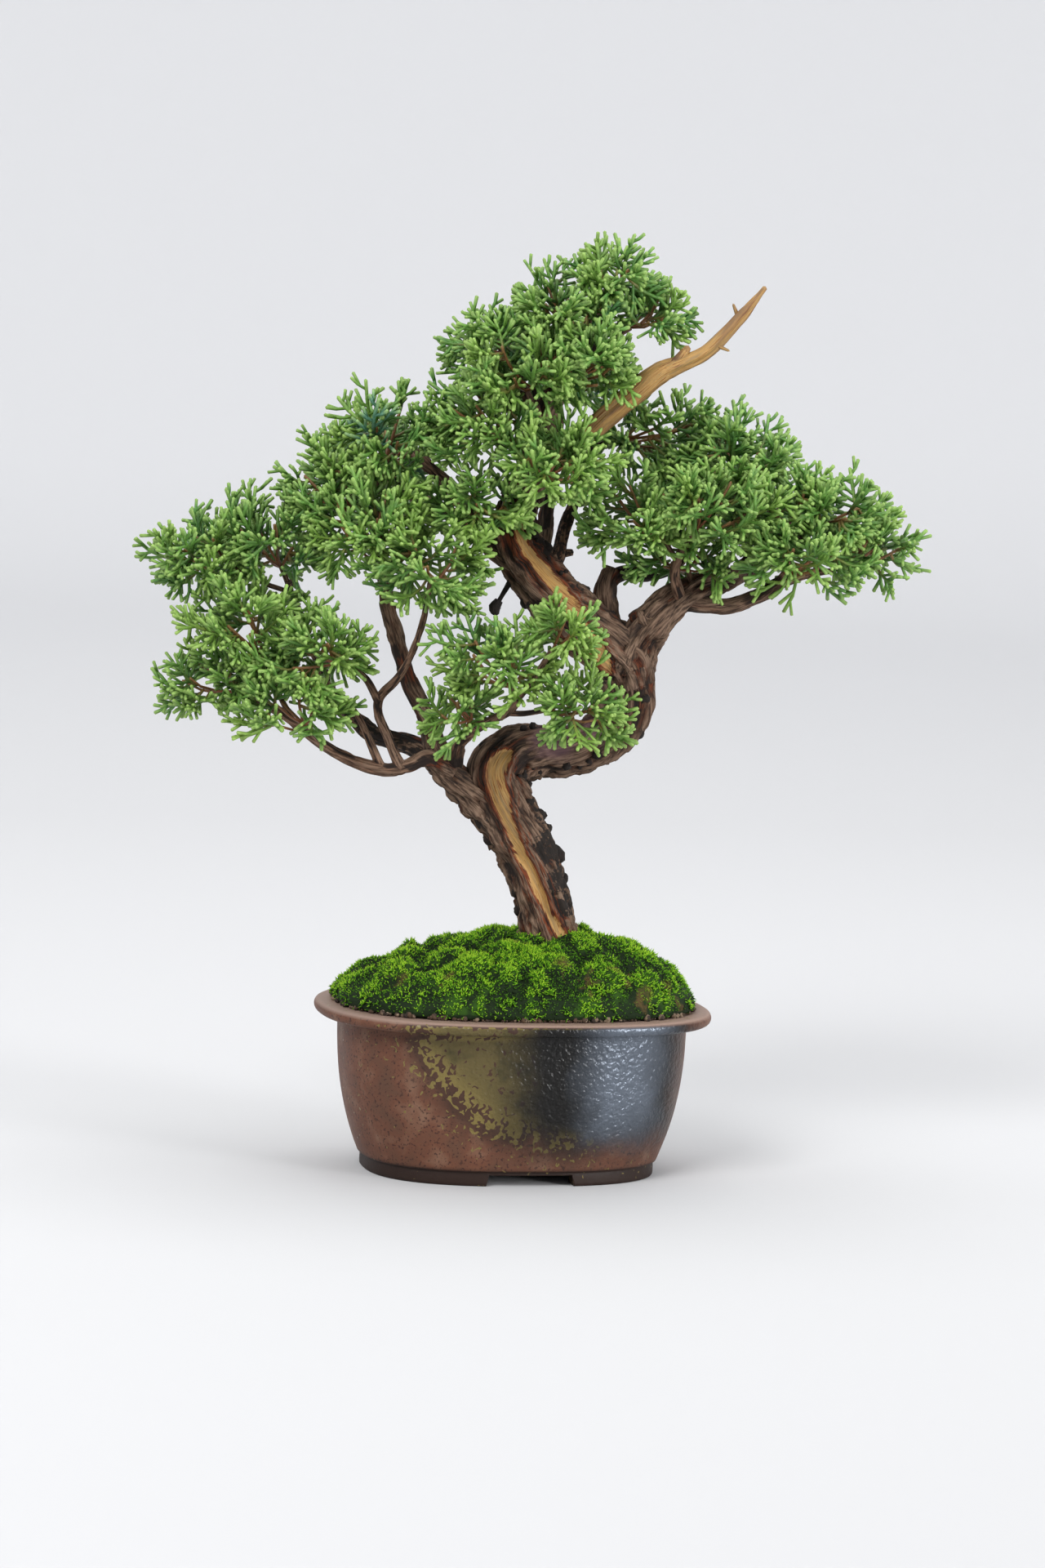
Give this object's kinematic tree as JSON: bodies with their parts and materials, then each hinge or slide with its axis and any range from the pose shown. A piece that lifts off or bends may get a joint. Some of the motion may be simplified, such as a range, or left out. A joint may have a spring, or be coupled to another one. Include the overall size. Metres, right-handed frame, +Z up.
{
  "type": "juniper bonsai",
  "caption": "Shimpaku juniper trained as a small informal upright bonsai, with a bare jin, in an oval brown stoneware pot under a moss mound.",
  "frame": {"origin": "under the middle of the whole bonsai, on the surface that the pot stands on", "axes": "+Z up, the pot's long side along X and its front facing -Y; the tree's best side is turned 14 degrees from the pot's front"},
  "size_m": [0.2528, 0.136, 0.3084],
  "materials": {
    "stoneware": "brown stoneware, satin, with a glossy olive and blue-black ash glaze on its front",
    "screen_plastic": "black plastic mesh",
    "soil": "damp granular bonsai soil",
    "moss": "living cushion moss, bright green, matte",
    "juniper_wood": "flaky grey-brown bark with a bare tan strip and bare tan dead wood, matte",
    "foliage_left": "scale-leaf juniper foliage, green with lighter tips, satin",
    "foliage_crown": "scale-leaf juniper foliage, green with lighter tips, satin",
    "foliage_centre": "scale-leaf juniper foliage, green with lighter tips, satin",
    "foliage_right": "scale-leaf juniper foliage, green with lighter tips, satin",
    "foliage_front": "scale-leaf juniper foliage, green with lighter tips, satin"
  },
  "bodies": {
    "root": {"pot": "stoneware", "drain_screen_left": "screen_plastic", "drain_screen_right": "screen_plastic", "soil": "soil", "moss": "moss", "juniper_wood": "juniper_wood", "left_spray_1": "foliage_left", "left_spray_2": "foliage_left", "left_spray_3": "foliage_left", "left_spray_4": "foliage_left", "left_spray_5": "foliage_left", "left_spray_6": "foliage_left", "left_spray_7": "foliage_left", "left_spray_8": "foliage_left", "left_spray_9": "foliage_left", "left_spray_10": "foliage_left", "left_spray_11": "foliage_left", "crown_spray_1": "foliage_crown", "crown_spray_2": "foliage_crown", "crown_spray_3": "foliage_crown", "crown_spray_4": "foliage_crown", "crown_spray_5": "foliage_crown", "crown_spray_6": "foliage_crown", "crown_spray_7": "foliage_crown", "centre_spray_1": "foliage_centre", "centre_spray_2": "foliage_centre", "centre_spray_3": "foliage_centre", "right_spray_1": "foliage_right", "right_spray_2": "foliage_right", "right_spray_3": "foliage_right", "right_spray_4": "foliage_right", "right_spray_5": "foliage_right", "right_spray_6": "foliage_right", "right_spray_7": "foliage_right", "right_spray_8": "foliage_right", "right_spray_9": "foliage_right", "right_spray_10": "foliage_right", "front_spray_1": "foliage_front", "front_spray_2": "foliage_front", "front_spray_3": "foliage_front", "front_spray_4": "foliage_front"}
  },
  "joints": []
}
